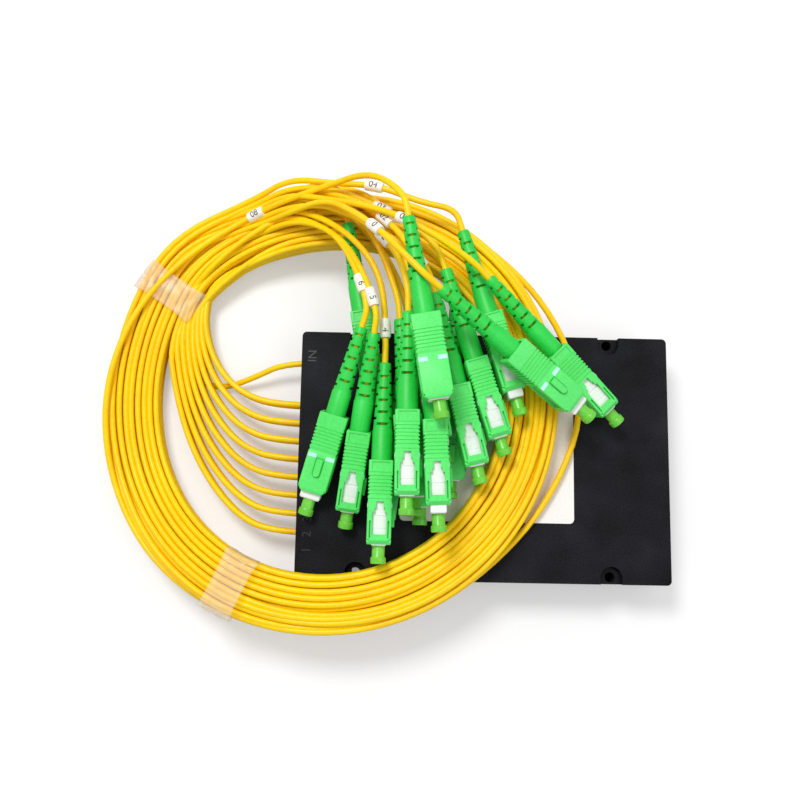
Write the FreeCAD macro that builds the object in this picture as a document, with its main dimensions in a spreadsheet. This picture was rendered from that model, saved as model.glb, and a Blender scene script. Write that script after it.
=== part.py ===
"""Fibre splitter module: a flat box, its input cord and sixteen output cords, each with a capped plug.

Row frame, in millimetres: +X along the box, its cords leave the -X end; +Y across it; +Z up.
The origin is the middle of the box's underside.
"""
import FreeCAD
import Part
import math
import os

V = FreeCAD.Vector
OUT = "parts"

# Driving sizes, in millimetres. The spreadsheet holds them, and every length below comes from it.
SIZES = {
    "box_length": 120.0, "box_width": 80.0, "box_height": 18.0, "corner_round": 1.5,
    "wall": 2.0, "floor_thick": 2.0, "cover_thick": 2.5, "lip_depth": 1.5, "lip_gap": 0.15,
    "hole_span_x": 81.6, "hole_span_y": 75.6, "hole_radius": 1.65,
    "post_radius": 3.2, "notch_radius": 3.45,
    "label_length": 56.0, "label_width": 40.5, "label_thick": 0.1, "label_x": 1.0, "label_y": -0.8,
    "case_long": 54.0, "case_wide": 7.0, "case_high": 5.0, "case_wall": 0.8, "case_from_end": 38.0,
    "case_y": -6.0,
    "chip_long": 16.0, "chip_wide": 4.6, "chip_high": 2.4, "array_long": 9.0, "array_in_wide": 3.0,
    "slot_high": 1.4, "slot_up": 1.1, "slot_in_wide": 3.0, "slot_out_wide": 5.0,
    "ribbon_wide": 4.0, "ribbon_thick": 0.3, "inner_tube_radius": 0.45, "fibre_up": 1.7,
    "fan_from_end": 28.0, "fan_long": 10.0, "fan_wide": 18.0, "fan_high": 5.0,
    "clamp_long": 8.0, "clamp_gap": 2.2, "clamp_high": 10.8,
    "cord_dia": 2.0, "exit_clearance": 0.1,
    "output_first_y": 16.4, "output_pitch": 6.0, "input_from_side": 8.6,
    "row_low_z": 6.5, "row_high_z": 10.5, "input_z": 8.5,
    "grip_wide": 9.0, "grip_high": 7.4, "grip_long": 25.4,
    "bore_wide": 6.8, "bore_high": 5.2, "collar_bore": 3.4, "collar_bore_deep": 4.5,
    "window_wide": 4.3, "window_long": 6.6, "window_neck": 2.2, "window_neck_long": 3.4,
    "window_front": 3.0, "key_wide": 2.2, "key_long": 5.5, "key_high": 0.9, "key_front": 5.2,
    "nose_chamfer": 1.2, "grip_travel": 2.0, "grip_lead": 0.3,
    "rib_from": 5.0, "rib_pitch": 1.1, "rib_deep": 0.25,
    "body_wide": 6.4, "body_high": 4.8, "body_long": 24.5, "mouth_radius": 2.1, "mouth_deep": 5.0,
    "ferrule_dia": 2.5, "ferrule_long": 10.0, "ferrule_out": 0.5,
    "crimp_radius": 1.9, "crimp_long": 7.0,
    "boot_long": 31.7, "collar_radius": 3.15, "collar_long": 10.5, "boot_tip_radius": 1.9,
    "cap_neck_radius": 1.95, "cap_neck_long": 3.5, "cap_rim_radius": 2.35, "cap_rim_long": 2.0,
    "cap_sleeve_long": 3.0, "cap_bore_long": 1.2,
    "coil_x": -51.7, "coil_y": 18.2, "coil_columns": 8.5, "coil_rows": 4.0, "coil_pitch": 2.05,
    "coil_inner": 56.4, "coil_top_inner": 51.6, "coil_lift": 0.3, "coil_bevel": 2.0,
    "tape_width": 11.0, "tape_film": 0.15, "tape_room": 0.05,
    "sleeve_radius": 1.7, "sleeve_long": 6.0, "boot_approach": 8.0,
}

OUTPUTS_A_ROW = 8
GRIP_RIBS = 6
FULL_TURN = 360
COIL_STEPS = 36
BEND_SHARE = 0.45  # how much of its shorter run each bend may use

# Angles round the coil, in degrees from +X. It climbs onto the box, and comes down from it.
CLIMB_FROM, CLIMB_TO = 190, 260
DROP_FROM, DROP_TO = 23, 150
# The coil is pinched inwards about the top, and spread outwards between the two spread angles.
PINCH_AT, PINCH_REACH = 90, 80
SPREAD_FROM, SPREAD_RISE = 25, 50
SPREAD_TO, SPREAD_FALL = 120, 55
SPREAD_SHARE = 0.5
TAPES = {"tape_upper": 146.0, "tape_lower": 245.0}

doc = FreeCAD.newDocument("fibre_splitter")
sheet = doc.addObject("Spreadsheet::Sheet", "Sizes")
for row, (alias, value) in enumerate(SIZES.items(), start=1):
    sheet.set(f"A{row}", alias)
    sheet.set(f"B{row}", str(value))
    sheet.setAlias(f"B{row}", alias)
doc.recompute()


def mm(alias):
    """A size from the spreadsheet, as a number of millimetres."""
    return float(sheet.get(alias))


def bind(obj, **expressions):
    """Bind properties of obj to expressions in the sheet's aliases, written as S.alias."""
    for name, text in expressions.items():
        obj.setExpression(name, str(text).replace("S.", "Sizes."))
    return obj


def block(name, length, width, height, x, y, z):
    """A box centred on x and y, with its underside at z. All six are expressions."""
    obj = doc.addObject("Part::Box", name)
    bind(obj, Length=length, Width=width, Height=height)
    obj.setExpression(".Placement.Base.x", f"({x}) - ({length}) / 2".replace("S.", "Sizes."))
    obj.setExpression(".Placement.Base.y", f"({y}) - ({width}) / 2".replace("S.", "Sizes."))
    obj.setExpression(".Placement.Base.z", f"{z}".replace("S.", "Sizes."))
    return obj


def rod(name, radius, height, x, y, z, along=V(0, 0, 1)):
    """A cylinder from the point x, y, z (expressions) along a direction."""
    obj = doc.addObject("Part::Cylinder", name)
    bind(obj, Radius=radius, Height=height)
    obj.Placement = FreeCAD.Placement(V(0, 0, 0), FreeCAD.Rotation(V(0, 0, 1), along))
    for axis, text in zip("xyz", (x, y, z)):
        obj.setExpression(f".Placement.Base.{axis}", f"{text}".replace("S.", "Sizes."))
    return obj


def joined(name, shapes):
    obj = doc.addObject("Part::MultiFuse", name)
    obj.Shapes = shapes
    return obj


def cut(name, base, tool):
    obj = doc.addObject("Part::Cut", name)
    obj.Base, obj.Tool = base, tool
    return obj


def common(name, one, other):
    obj = doc.addObject("Part::Common", name)
    obj.Base, obj.Tool = one, other
    return obj


def upright_rounded(name, base):
    """base with its upright edges rounded by the corner radius."""
    doc.recompute()
    upright = [
        number for number, edge in enumerate(base.Shape.Edges, start=1)
        if abs(edge.tangentAt(edge.FirstParameter).z) > 0.99
    ]
    obj = doc.addObject("Part::Fillet", name)
    obj.Base = base
    obj.Edges = [(number, mm("corner_round"), mm("corner_round")) for number in upright]
    return obj


def shape_of(name, shape, placement=None):
    """A part made by a function, where no primitive fits, with its own placement."""
    obj = doc.addObject("Part::Feature", name)
    obj.Shape = shape
    if placement is not None:
        obj.Placement = placement
    return obj


# ---------------------------------------------------------------- the box

CORNERS = [(sx, sy) for sx in (-1, 1) for sy in (-1, 1)]
SHELL_TOP = "S.box_height - S.cover_thick"


def at_corner(sx, sy):
    """The expressions of a mounting hole's place."""
    return f"{sx} * S.hole_span_x / 2", f"{sy} * S.hole_span_y / 2"


def input_y():
    return mm("box_width") / 2 - mm("input_from_side")


def cord_exits():
    """(y, z) of the seventeen cords on the -X end, the input first."""
    rows = [(input_y(), mm("input_z"))]
    for z in (mm("row_high_z"), mm("row_low_z")):
        rows += [(mm("output_first_y") - n * mm("output_pitch"), z) for n in range(OUTPUTS_A_ROW)]
    return rows


def make_base_shell():
    outer = upright_rounded("shell_outer", block(
        "shell_block", "S.box_length", "S.box_width", SHELL_TOP, "0", "0", "0"))
    inner = block(
        "shell_hollow", "S.box_length - 2 * S.wall", "S.box_width - 2 * S.wall",
        "S.box_height", "0", "0", "S.floor_thick")
    tray = cut("shell_tray", outer, inner)
    posts = joined("shell_posts", [
        rod(f"post_{n}", "S.post_radius", SHELL_TOP, *at_corner(sx, sy), "0")
        for n, (sx, sy) in enumerate(CORNERS)])
    body = joined("shell_body", [tray, common("shell_posts_inside", posts, outer)])
    tools = [
        rod(f"screw_hole_{n}", "S.hole_radius", "S.box_height", *at_corner(sx, sy), "0")
        for n, (sx, sy) in enumerate(CORNERS)]
    for n, (y, z) in enumerate(cord_exits()):
        tools.append(rod(
            f"cord_exit_{n}", "S.cord_dia / 2 + S.exit_clearance", "2 * S.wall",
            "-S.box_length / 2 - S.wall / 2", str(y), str(z), V(1, 0, 0)))
    return cut("base_shell", body, joined("shell_holes", tools))


def make_top_cover():
    plate = upright_rounded("cover_plate", block(
        "cover_block", "S.box_length", "S.box_width", "S.cover_thick", "0", "0", SHELL_TOP))
    lip_length = "S.box_length - 2 * S.wall - 2 * S.lip_gap"
    lip_width = "S.box_width - 2 * S.wall - 2 * S.lip_gap"
    lip = block(
        "cover_lip", lip_length, lip_width, "S.lip_depth", "0", "0", f"{SHELL_TOP} - S.lip_depth")
    middle = block(
        "cover_hollow", f"{lip_length} - 2 * S.wall", f"{lip_width} - 2 * S.wall",
        "S.lip_depth", "0", "0", f"{SHELL_TOP} - S.lip_depth")
    rim = cut("cover_rim", lip, joined("cover_relief", [middle] + [
        rod(f"post_relief_{n}", "S.post_radius + S.lip_gap", "2 * S.lip_depth",
            *at_corner(sx, sy), f"{SHELL_TOP} - 2 * S.lip_depth")
        for n, (sx, sy) in enumerate(CORNERS)]))
    notches = []
    for n, (sx, sy) in enumerate(CORNERS):
        x, y = at_corner(sx, sy)
        notches.append(rod(
            f"notch_round_{n}", "S.notch_radius", "2 * S.cover_thick", x, y, SHELL_TOP))
        notches.append(block(
            f"notch_open_{n}", "2 * S.notch_radius", "2 * S.notch_radius", "2 * S.cover_thick",
            x, f"{y} + {sy} * S.notch_radius", SHELL_TOP))
    notched = cut("cover_notched", plate, joined("cover_notches", notches))
    return joined("top_cover", [notched, rim])


def make_sticker():
    return upright_rounded("sticker", block(
        "sticker_block", "S.label_length", "S.label_width", "S.label_thick",
        "S.label_x", "S.label_y", "S.box_height"))


# ---------------------------------------------------------------- inside the box

CASE_INSIDE = "S.floor_thick + S.case_wall"
CASE_X = "(S.box_length / 2 - S.case_from_end)"
FAN_X = "(S.fan_from_end - S.box_length / 2)"
FIBRE_Z = f"{CASE_INSIDE} + S.fibre_up"
CHIP_TO_ARRAY = "(S.chip_long + S.array_long) / 2"


def make_chip_parts():
    """A steel channel with the waveguide chip glued between two fibre arrays."""
    case_outer = block(
        "case_outer", "S.case_long", "S.case_wide", "S.case_high", CASE_X, "S.case_y",
        "S.floor_thick")
    case_inner = block(
        "case_inner", "S.case_long - 2 * S.case_wall", "S.case_wide - 2 * S.case_wall",
        "S.case_high - 2 * S.case_wall", CASE_X, "S.case_y", CASE_INSIDE)
    slots = [
        block(f"case_slot_{side}", "4 * S.case_wall", f"S.slot_{side}_wide", "S.slot_high",
              f"{CASE_X} + {way} * S.case_long / 2", "S.case_y", f"{CASE_INSIDE} + S.slot_up")
        for side, way in (("in", 1), ("out", -1))]
    return [
        cut("chip_case", case_outer, joined("case_ends", [case_inner] + slots)),
        block("plc_chip", "S.chip_long", "S.chip_wide", "S.chip_high", CASE_X, "S.case_y",
              CASE_INSIDE),
        block("fibre_array_in", "S.array_long", "S.array_in_wide", "S.chip_high",
              f"{CASE_X} + {CHIP_TO_ARRAY}", "S.case_y", CASE_INSIDE),
        block("fibre_array_out", "S.array_long", "S.chip_wide", "S.chip_high",
              f"{CASE_X} - {CHIP_TO_ARRAY}", "S.case_y", CASE_INSIDE),
    ]


def make_fan_out():
    """The block where the ribbon becomes sixteen fibres, and the bonded block that holds the cords."""
    fan = block(
        "fan_out_block", "S.fan_long", "S.fan_wide", "S.fan_high", FAN_X, "S.case_y",
        "S.floor_thick")
    clamp = block(
        "clamp_solid", "S.clamp_long", "S.box_width - 2 * S.wall - 2 * S.clamp_gap", "S.clamp_high",
        "-S.box_length / 2 + S.wall + S.clamp_long / 2", "0", "S.floor_thick")
    holes = joined("clamp_holes", [
        rod(f"clamp_hole_{n}", "S.cord_dia / 2", "2 * S.clamp_long",
            "-S.box_length / 2 + S.wall - S.clamp_long / 2", str(y), str(z), V(1, 0, 0))
        for n, (y, z) in enumerate(cord_exits())])
    return [fan, cut("cord_clamp_block", clamp, holes)]


def make_inner_fibres():
    """The sixteen-fibre ribbon from the output array to the fan-out block, and the input fibre's tube."""
    ribbon_end = f"({CASE_X} - S.chip_long / 2 - S.array_long)"
    fan_face = f"({FAN_X} + S.fan_long / 2)"
    ribbon = block(
        "ribbon_flat", f"{ribbon_end} - {fan_face}", "S.ribbon_wide", "S.ribbon_thick",
        f"({ribbon_end} + {fan_face}) / 2", "S.case_y", FIBRE_Z)
    doc.recompute()
    case_x = mm("box_length") / 2 - mm("case_from_end")
    array_end = case_x + mm("chip_long") / 2 + mm("array_long")
    across = input_y() - mm("case_y")
    low, high = ribbon.Placement.Base.z + mm("ribbon_thick") / 2, mm("input_z")
    route = [(array_end, mm("case_y"), low)]
    for from_end, share_across, rise in INPUT_FIBRE_BENDS:
        x = mm("box_length") / 2 - from_end
        route.append((x, mm("case_y") + across * share_across, low + (high - low) * rise))
    route.append((cord_start(), input_y(), high))
    tube_shape = tube(route, mm("inner_tube_radius"))
    return shape_of("inner_fibres", Part.makeCompound([ribbon.Shape, tube_shape]))


# The input fibre's bends: distance from the box's +X end, and their share of its way across and up.
INPUT_FIBRE_BENDS = [(6, 0, 0), (4.5, 0.33, 0.1), (11, 0.67, 0.3), (32, 0.9, 0.7), (60, 0.99, 0.9), (82, 1, 1)]


def cord_start():
    """Where each cord ends inside the box, at the bonded block's inner face."""
    return -mm("box_length") / 2 + mm("wall") + mm("clamp_long")


# ---------------------------------------------------------------- tubes along a route

VOLUME_OFF_PERCENT = 2
bend_radii = []


def route_wire(points):
    """Straight runs joined by tangent arcs, each arc as large as its two runs allow."""
    points = [V(*p) for p in points]
    edges, start = [], points[0]
    for before, corner, after in zip(points, points[1:], points[2:]):
        back, ahead = (before - corner), (after - corner)
        reach = BEND_SHARE * min(back.Length, ahead.Length)
        back, ahead = V(back).normalize(), V(ahead).normalize()
        half_turn = (math.pi - back.getAngle(ahead)) / 2
        radius = reach / math.tan(half_turn)
        bend_radii.append(radius)
        first, last = corner + back * reach, corner + ahead * reach
        middle_way = (back + ahead).normalize()
        centre = corner + middle_way * (radius / math.cos(half_turn))
        middle = centre - middle_way * radius
        edges += [Part.LineSegment(start, first).toShape(), Part.Arc(first, middle, last).toShape()]
        start = last
    edges.append(Part.LineSegment(start, points[-1]).toShape())
    return Part.Wire(edges)


def tube(points, radius):
    """A round solid of that radius along the route."""
    wire = route_wire(points)
    start, along = V(*points[0]), V(*points[1]) - V(*points[0])
    section = Part.Face(Part.Wire(Part.Circle(start, along, radius).toShape()))
    solid = wire.makePipe(section)
    solid = solid if solid.ShapeType == "Solid" else Part.Solid(solid.Shells[0])
    wanted = math.pi * radius**2 * wire.Length
    if 100 * abs(solid.Volume - wanted) > VOLUME_OFF_PERCENT * wanted:
        raise SystemExit(f"the tube from {points[0]} has {solid.Volume} of {wanted} cubic mm")
    return solid


# ---------------------------------------------------------------- the coil

def eased(share):
    """0 to 1 with a flat start and end."""
    share = max(0.0, min(1.0, share))
    return share * share * (3 - 2 * share)


def lift(angle):
    """Height of the coil's underside, from the ground at the left to the box's top at the right."""
    angle %= FULL_TURN
    high = mm("box_height") + mm("coil_lift")
    if angle >= CLIMB_TO or angle <= DROP_FROM:
        return high
    if angle < DROP_TO:
        return high * (1 - eased((angle - DROP_FROM) / (DROP_TO - DROP_FROM)))
    return high * eased((angle - CLIMB_FROM) / (CLIMB_TO - CLIMB_FROM))


def inner_radius(angle):
    """The coil is pulled inwards at its top."""
    angle %= FULL_TURN
    near_top = eased(1 - abs(angle - PINCH_AT) / PINCH_REACH)
    return mm("coil_inner") - (mm("coil_inner") - mm("coil_top_inner")) * near_top


def outer_radius(angle):
    """Two turns of cords everywhere, and half a turn more at the upper left."""
    angle %= FULL_TURN
    spread = eased((angle - SPREAD_FROM) / SPREAD_RISE) * (1 - eased((angle - SPREAD_TO) / SPREAD_FALL))
    columns = mm("coil_columns") * (1 + SPREAD_SHARE * spread)
    return inner_radius(angle) + columns * mm("coil_pitch")


def coil_point(angle, radius, z):
    a = math.radians(angle)
    return V(mm("coil_x") + radius * math.cos(a), mm("coil_y") + radius * math.sin(a), z)


def make_cord_coil():
    """One closed solid of the coil's outer shape, an octagon carried round in flat triangles."""
    high, bevel = mm("coil_rows") * mm("coil_pitch"), mm("coil_bevel")
    rings = []
    for step in range(COIL_STEPS):
        angle = step * FULL_TURN / COIL_STEPS
        inner, outer, low = inner_radius(angle), outer_radius(angle), lift(angle)
        section = [
            (inner, low + bevel), (inner + bevel, low), (outer - bevel, low), (outer, low + bevel),
            (outer, low + high - bevel), (outer - bevel, low + high),
            (inner + bevel, low + high), (inner, low + high - bevel)]
        rings.append([coil_point(angle, radius, z) for radius, z in section])
    faces = []
    for here, after in zip(rings, rings[1:] + rings[:1]):
        for a, b, c, d in zip(here, here[1:] + here[:1], after[1:] + after[:1], after):
            faces.append(Part.Face(Part.makePolygon([a, b, c, a])))
            faces.append(Part.Face(Part.makePolygon([a, c, d, a])))
    solid = Part.Solid(Part.Shell(faces))
    if solid.Volume < 0:
        solid.reverse()
    return shape_of("cord_coil", solid)


def make_tape(name, angle):
    """A band of clear film wrapped round the coil."""
    width, film, room = mm("tape_width"), mm("tape_film"), mm("tape_room")
    inner, outer = inner_radius(angle), outer_radius(angle)
    half_angle = math.degrees(width / 2 / outer)
    lifts = [lift(angle - half_angle), lift(angle + half_angle)]
    low, top = min(lifts), max(lifts) + mm("coil_rows") * mm("coil_pitch")
    across = outer - inner + 2 * room
    band = Part.makeBox(width, across + 2 * film, top - low + 2 * film)
    band = band.cut(Part.makeBox(width, across, top - low, V(0, film, film)))
    band.translate(V(-width / 2, -film, -film))
    turned = FreeCAD.Placement(
        coil_point(angle, inner - room, max(low, film)), FreeCAD.Rotation(V(0, 0, 1), angle - 90))
    return shape_of(name, band, turned)


# ---------------------------------------------------------------- one plug, in its own frame
# Local +X points out of the plug's nose, +Z out of the face with the key. X = 0 is the body's front.

def make_grip_form():
    back = "(S.grip_lead + S.grip_long)"
    outer = block(
        "grip_outer", "S.grip_long", "S.grip_wide", "S.grip_high",
        "-S.grip_lead - S.grip_long / 2", "0", "-S.grip_high / 2")
    doc.recompute()
    nose = [
        (number, mm("nose_chamfer"), mm("nose_chamfer"))
        for number, edge in enumerate(outer.Shape.Edges, start=1)
        if abs(edge.tangentAt(edge.FirstParameter).z) > 0.99
        and edge.CenterOfMass.x > -mm("grip_lead") - 0.01]
    chamfered = doc.addObject("Part::Chamfer", "grip_chamfered")
    chamfered.Base, chamfered.Edges = outer, nose
    key = block(
        "grip_key", "S.key_long", "S.key_wide", "S.key_high + 1",
        "-S.grip_lead - S.key_front - S.key_long / 2", "0", "S.grip_high / 2 - 1")
    solid = joined("grip_solid", [chamfered, key])
    window_back = "S.grip_lead + S.window_front + S.window_long"
    tools = [
        block("grip_bore", "S.grip_long + 2", "S.bore_wide", "S.bore_high",
              "-S.grip_lead - S.grip_long / 2", "0", "-S.bore_high / 2"),
        rod("grip_collar_bore", "S.collar_bore", "S.collar_bore_deep + 1",
            f"-{back} - 1", "0", "0", V(1, 0, 0)),
        block("grip_window", "S.window_long", "S.grip_wide + 2", "S.window_wide",
              "-S.grip_lead - S.window_front - S.window_long / 2", "0", "-S.window_wide / 2"),
        block("grip_window_neck", "S.window_neck_long + 0.5", "S.grip_wide + 2", "S.window_neck",
              f"-({window_back}) - S.window_neck_long / 2 + 0.25", "0", "-S.window_neck / 2"),
    ]
    for n in range(GRIP_RIBS):
        middle = f"-{back} + S.rib_from + {n} * S.rib_pitch"
        ring = block(
            f"rib_groove_outer_{n}", "S.rib_pitch / 2", "S.grip_wide + 2", "S.grip_high + 2",
            middle, "0", "-S.grip_high / 2 - 1")
        core = block(
            f"rib_groove_core_{n}", "S.rib_pitch", "S.grip_wide - 2 * S.rib_deep",
            "S.grip_high - 2 * S.rib_deep", middle, "0", "-S.grip_high / 2 + S.rib_deep")
        tools.append(cut(f"rib_groove_{n}", ring, core))
    return cut("grip_form", solid, joined("grip_tools", tools))


def make_body_form():
    outer = block(
        "body_outer", "S.body_long", "S.body_wide", "S.body_high",
        "-S.body_long / 2", "0", "-S.body_high / 2")
    seat = "S.ferrule_long - S.ferrule_out"
    tools = joined("body_bores", [
        rod("body_mouth", "S.mouth_radius", "S.mouth_deep + 1", "-S.mouth_deep", "0", "0", V(1, 0, 0)),
        rod("body_ferrule_bore", "S.ferrule_dia / 2", f"{seat}", f"-({seat})", "0", "0", V(1, 0, 0)),
        rod("body_crimp_bore", "S.crimp_radius", "S.crimp_long + 1",
            "-S.body_long - 1", "0", "0", V(1, 0, 0))])
    return cut("body_form", outer, tools)


def make_ferrule_form():
    return rod(
        "ferrule_form", "S.ferrule_dia / 2", "S.ferrule_long",
        "S.ferrule_out - S.ferrule_long", "0", "0", V(1, 0, 0))


def make_crimp_form():
    start = "-S.body_long"
    return cut(
        "crimp_form",
        rod("crimp_outer", "S.crimp_radius", "S.crimp_long", start, "0", "0", V(1, 0, 0)),
        rod("crimp_bore", "S.cord_dia / 2", "S.crimp_long + 2", f"{start} - 1", "0", "0", V(1, 0, 0)))


def make_boot_form():
    collar = rod(
        "boot_collar", "S.collar_radius", "S.collar_long",
        "-S.body_long - S.collar_long", "0", "0", V(1, 0, 0))
    taper = doc.addObject("Part::Cone", "boot_taper")
    bind(taper, Radius1="S.boot_tip_radius", Radius2="S.collar_radius",
         Height="S.boot_long - S.collar_long")
    taper.Placement = FreeCAD.Placement(V(0, 0, 0), FreeCAD.Rotation(V(0, 0, 1), V(1, 0, 0)))
    taper.setExpression(".Placement.Base.x", "-Sizes.body_long - Sizes.boot_long")
    bore = rod(
        "boot_bore", "S.cord_dia / 2", "S.boot_long + 2",
        "-S.body_long - S.boot_long - 1", "0", "0", V(1, 0, 0))
    return cut("boot_form", joined("boot_solid", [collar, taper]), bore)


def make_cap_form():
    neck = rod(
        "cap_neck", "S.cap_neck_radius", "S.cap_sleeve_long + S.cap_neck_long",
        "-S.cap_sleeve_long", "0", "0", V(1, 0, 0))
    rim = rod(
        "cap_rim", "S.cap_rim_radius", "S.cap_rim_long", "S.cap_neck_long", "0", "0", V(1, 0, 0))
    bore = rod(
        "cap_bore", "S.ferrule_dia / 2 + S.exit_clearance / 2", "S.cap_sleeve_long + S.cap_bore_long + 1",
        "-S.cap_sleeve_long - 1", "0", "0", V(1, 0, 0))
    return cut("cap_form", joined("cap_solid", [neck, rim]), bore)


# ---------------------------------------------------------------- where the plugs lie
# (name, nose point above the cover, heading, nose-up angle, roll, grip slid back). Roll 0 has the key up.

PLUGS = [
    ("a", (-55.4, -14.6, 4.6), -106.2, -11.5, 0, True),
    ("b", (-43.4, -18.4, 5.2), -97.6, -12.5, -90, False),
    ("c", (-33.4, -28.8, 13.3), -90.8, 0, -90, False),
    ("d", (-25.3, -14.2, 21.8), -89.5, 0, -90, False),
    ("e", (-16.6, 13.6, 30.7), -80.0, 0, 180, False),
    ("f", (-14.7, 2.0, 13.35), -78.5, 0, -90, True),
    ("g", (-3.7, -4.2, 13.35), -76.0, 0, -90, False),
    ("h", (3.4, 4.6, 13.3), -72.0, 0, -90, False),
    ("i", (8.3, 17.2, 13.3), -72.5, 0, -90, True),
    ("j", (26.8, 14.2, 18.0), -36.5, -16.5, 0, True),
    ("k", (38.0, 14.6, 8.8), -44.8, -12.0, 90, False),
    ("l", (-22.9, -14.2, 12.5), -84.6, 0, 0, False),
    ("m", (-15.9, -19.0, 22.6), -87.0, 0, -90, True),
    ("n", (-11.1, -8.4, 4.0), -91.0, 0, 0, False),
    ("o", (-33.0, -21.8, 4.0), -97.3, 0, 0, False),
    ("p", (-36.2, 20.2, 4.8), -80.2, 0, -90, False),
    ("q", (-20.6, -16.95, 4.0), -91.0, 0, 0, False),
]


def above_cover(point):
    """A point whose height is given above the box's cover."""
    return V(point[0], point[1], point[2] + mm("box_height"))


def plug_placement(plug):
    nose, heading, nose_up, roll = plug[1:5]
    return FreeCAD.Placement(above_cover(nose), FreeCAD.Rotation(heading, -nose_up, roll))


def grip_placement(plug):
    """A grip that is slid back stands that much behind its front stop."""
    place = plug_placement(plug)
    if plug[-1]:
        place = place.multiply(FreeCAD.Placement(V(-mm("grip_travel"), 0, 0), FreeCAD.Rotation()))
    return place


def placed(shape, placement):
    """A copy of a shape at that placement."""
    copy = shape.copy()
    copy.Placement = placement.multiply(copy.Placement)
    return copy


def make_plugs():
    """Seventeen grips and caps, each a node of its own, and a node for each fixed part of all plugs."""
    grip, cap = make_grip_form(), make_cap_form()
    fixed = {
        "plug_bodies": make_body_form(), "ferrules": make_ferrule_form(),
        "crimp_sleeves": make_crimp_form(), "boots": make_boot_form()}
    doc.recompute()
    made = []
    for plug in PLUGS:
        made.append(shape_of(f"grip_{plug[0]}", grip.Shape, grip_placement(plug)))
        made.append(shape_of(f"cap_{plug[0]}", cap.Shape, plug_placement(plug)))
    for name, form in fixed.items():
        copies = [placed(form.Shape, plug_placement(plug)) for plug in PLUGS]
        made.append(shape_of(name, Part.makeCompound(copies)))
    return made


# ---------------------------------------------------------------- the cords' routes

# The first and the last output lead, x and y, from the box to the coil. The others lie between them.
LEAD_FIRST = [(-68, 16.4), (-80, 20), (-88, 27.5), (-93, 37), (-95, 48), (-92.5, 60)]
LEAD_LAST = [(-68, -25.8), (-80, -20.5), (-91, -8), (-98.5, 6), (-103.5, 22), (-106.5, 38)]
UPPER_ROW_Z = [10.5, 9.8, 8.6, 7.6, 7.0, 6.6]
LOWER_ROW_Z = [6.5, 6.2, 5.2, 4.4, 4.1, 4.0]
INPUT_ROUTE = [(-66, 31.4, 8.5), (-77, 26.5, 5.2), (-88, 22.8, 1.9),
               (-98, 25.4, 1.5), (-104.5, 34, 1.4), (-107, 46, 1.4)]


def lead_route(number, heights):
    """One of the eight output leads of a row."""
    share = number / (OUTPUTS_A_ROW - 1)
    start = (cord_start(), mm("output_first_y") - number * mm("output_pitch"), heights[0])
    route = [start]
    for (ax, ay), (bx, by), z in zip(LEAD_FIRST, LEAD_LAST, heights):
        route.append((ax + (bx - ax) * share, ay + (by - ay) * share, z))
    route[1] = (route[1][0], start[1], start[2])
    return route


def make_leads():
    radius = mm("cord_dia") / 2
    rows = {"leads_upper_row": UPPER_ROW_Z, "leads_lower_row": LOWER_ROW_Z}
    start = (cord_start(), input_y(), mm("input_z"))
    made = [shape_of("lead_input", tube([start] + INPUT_ROUTE, radius))]
    for name, heights in rows.items():
        tubes = [tube(lead_route(n, heights), radius) for n in range(OUTPUTS_A_ROW)]
        made.append(shape_of(name, Part.makeCompound(tubes)))
    return made


# From the coil to the plug's boot, with heights above the cover. Two more points follow from the plug.
TAILS = {
    "a": [(-78, 77, -8), (-66, 82, -0.7), (-55.5, 78.5, 4), (-46.5, 68, 11)],
    "b": [(-78, 79, -8), (-66, 84.2, -0.7), (-54, 77.5, 4.5), (-44, 65.5, 13)],
    "c": [(-78, 81, -8), (-66, 86.4, -0.7), (-52.5, 79.5, 6), (-40.5, 66.5, 12), (-33.8, 53.5, 13.3)],
    "d": [(-78, 85, -8), (-66, 90.8, -0.7), (-52, 83, 8.5), (-39, 73.5, 15.5), (-29.5, 61.5, 20)],
    "e": [(-78, 84, -7), (-66, 88.4, 1.6), (-53, 92.5, 12), (-39, 88.5, 21.5)],
    "f": [(-78, 85, -9), (-66, 89.6, -3), (-52.5, 92.3, 0.6), (-42, 88.5, 3.5), (-33, 79, 9)],
    "g": [(-78, 82, -7), (-66, 86.2, 1.6), (-50, 83, 10.3), (-37, 73, 12.5), (-26.5, 65, 14.5)],
    "h": [(-78, 88, -7), (-66, 92.8, 1.6), (-51, 90, 6.5), (-37, 81.5, 9.5), (-26, 74, 12)],
    "i": [(-78, 90, -7), (-66, 95.5, 3), (-50, 91.5, 7), (-36, 88, 10), (-22, 80.5, 12.5)],
    "j": [(-78, 80, -7), (-66, 84, 1.6), (-53, 84.5, 11.5), (-43, 75, 20), (-34, 64, 31)],
    "k": [(-78, 86, -7), (-66, 90.6, 1.6), (-52, 84.5, 10.8), (-38, 78.5, 16.5), (-23, 69.5, 23)],
    "l": [(-78, 83, -8), (-66, 88.6, -0.7), (-51, 85.8, 7.5), (-38, 74, 10.5)],
    "m": [(-78, 87, -8), (-66, 93, -0.7), (-50, 87.5, 8.5), (-36, 78, 14), (-24.5, 62.5, 21)],
    "n": [(-78, 83, -9), (-66, 87.4, -3), (-53, 90, 0.4), (-43.5, 86, 1.7), (-32, 75, 3.7),
          (-17, 66, 7)],
    "o": [(-78, 79, -9), (-66, 83, -3), (-55, 85, 0.4), (-46.5, 81, 1.7), (-36, 70, 3.4), (-28, 56, 3.8)],
    "p": [(-78, 87, -9), (-68, 91.5, -3.5), (-58, 93.5, 0.5), (-51, 90.5, 3.8)],
    "q": [(-78, 81, -9), (-66, 85.2, -3), (-54, 87.5, 0.4), (-45, 83.5, 1.7), (-34, 72.5, 4),
          (-24.5, 59, 4)],
}

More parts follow.
